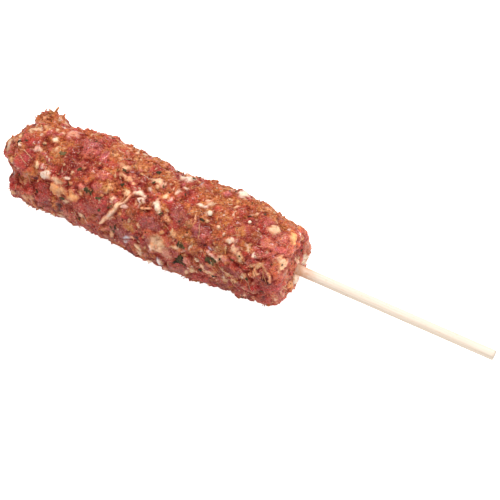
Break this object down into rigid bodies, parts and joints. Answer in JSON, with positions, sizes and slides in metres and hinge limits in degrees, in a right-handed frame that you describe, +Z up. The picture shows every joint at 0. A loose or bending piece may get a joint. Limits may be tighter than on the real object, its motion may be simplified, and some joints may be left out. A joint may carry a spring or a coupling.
{
  "type": "kofta skewer",
  "caption": "Roll of coarse raw minced meat, flecked with fat and herbs, pressed round a plain round wooden stick whose bare end is the handle.",
  "frame": {"origin": "middle of the bounding box at its underside, on the surface that the roll rests on", "axes": "+X along the roll from its closed end to the bare tip of the stick, +Z up; the shown side faces up and towards -Y"},
  "size_m": [0.1968, 0.0376, 0.035],
  "materials": {
    "raw_mince": "moist, coarse and uneven: red lean, cream fat, orange-brown seasoning and dark green herbs",
    "pale_wood": "bare, smooth turned, matt"
  },
  "bodies": {
    "root": {"meat": "raw_mince", "stick": "pale_wood"}
  },
  "joints": []
}
